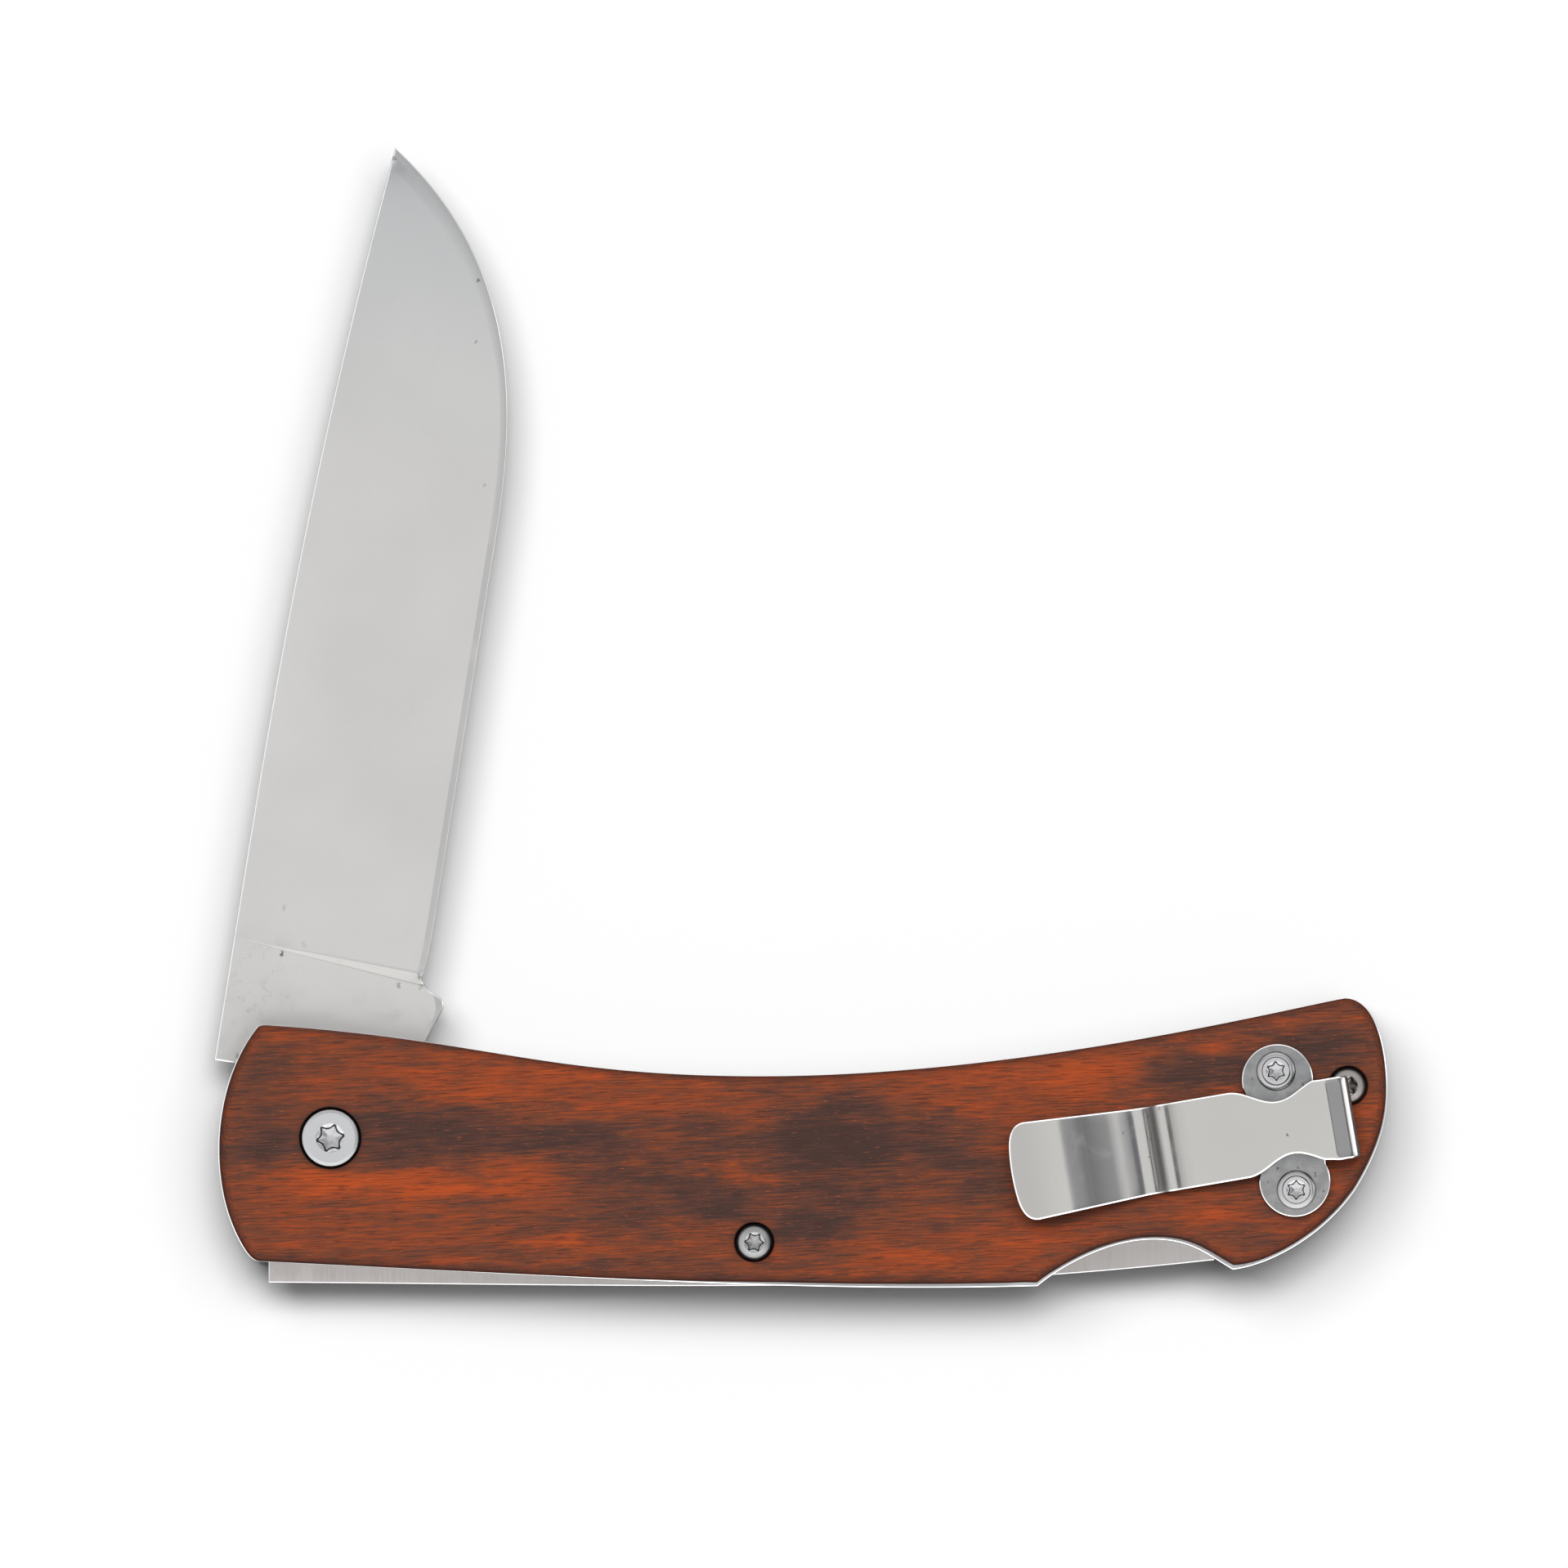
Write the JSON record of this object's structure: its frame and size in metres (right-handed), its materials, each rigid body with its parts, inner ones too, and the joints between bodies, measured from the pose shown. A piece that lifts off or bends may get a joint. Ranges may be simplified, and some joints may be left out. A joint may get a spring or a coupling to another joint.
{
  "type": "folding pocket knife",
  "caption": "Folding lockback knife with a drop point blade, wood scales on steel liners, a rocking lock bar and a bent steel pocket clip, stored part open.",
  "frame": {"origin": "on the blade's pivot axis, in the plane of the back scale's outer face, at the centre of the plain pivot head", "axes": "+X along the handle to the butt, +Y to the side that the blade opens from, +Z from the back scale to the pocket clip"},
  "size_m": [0.1148, 0.1113, 0.0163],
  "materials": {
    "blade_steel": "fine satin",
    "lock_steel": "fine satin",
    "liner_steel": "ground edges",
    "spring_steel": "plain",
    "screw_steel": "satin",
    "clip_steel": "satin with polished edges",
    "bronze": "plain",
    "scale_wood": "oiled, satin, red brown with dark streaks"
  },
  "bodies": {
    "handle": {"front_scale": "scale_wood", "back_scale": "scale_wood", "front_liner": "liner_steel", "back_liner": "liner_steel", "lock_spring": "spring_steel", "rear_spacer": "liner_steel", "spacer_dowel": "screw_steel", "pivot_barrel": "screw_steel", "pivot_screw": "screw_steel", "front_washer": "bronze", "back_washer": "bronze", "lock_pin": "screw_steel", "lock_pin_front_screw": "screw_steel", "lock_pin_back_screw": "screw_steel", "rear_barrel": "screw_steel", "rear_front_screw": "screw_steel", "rear_back_screw": "screw_steel", "pocket_clip": "clip_steel", "upper_clip_screw": "screw_steel", "lower_clip_screw": "screw_steel"},
    "blade": {"blade": "blade_steel"},
    "lock_bar": {"lock_bar": "lock_steel"}
  },
  "joints": [
    {"name": "blade_pivot", "type": "hinge", "parent": "handle", "child": "blade", "pos_m": [0, 0, 0.00625], "axis": [0, 0, 1], "range_deg": [-80.9, 96.4]},
    {"name": "lock_rocker", "type": "hinge", "parent": "handle", "child": "lock_bar", "pos_m": [0.04148, -0.0102, 0.00625], "axis": [0, 0, 1], "range_deg": [0, 1.2], "stiffness_Nm_per_rad": 1, "springref_deg": -8.59, "deforming": ["lock_spring"]}
  ]
}
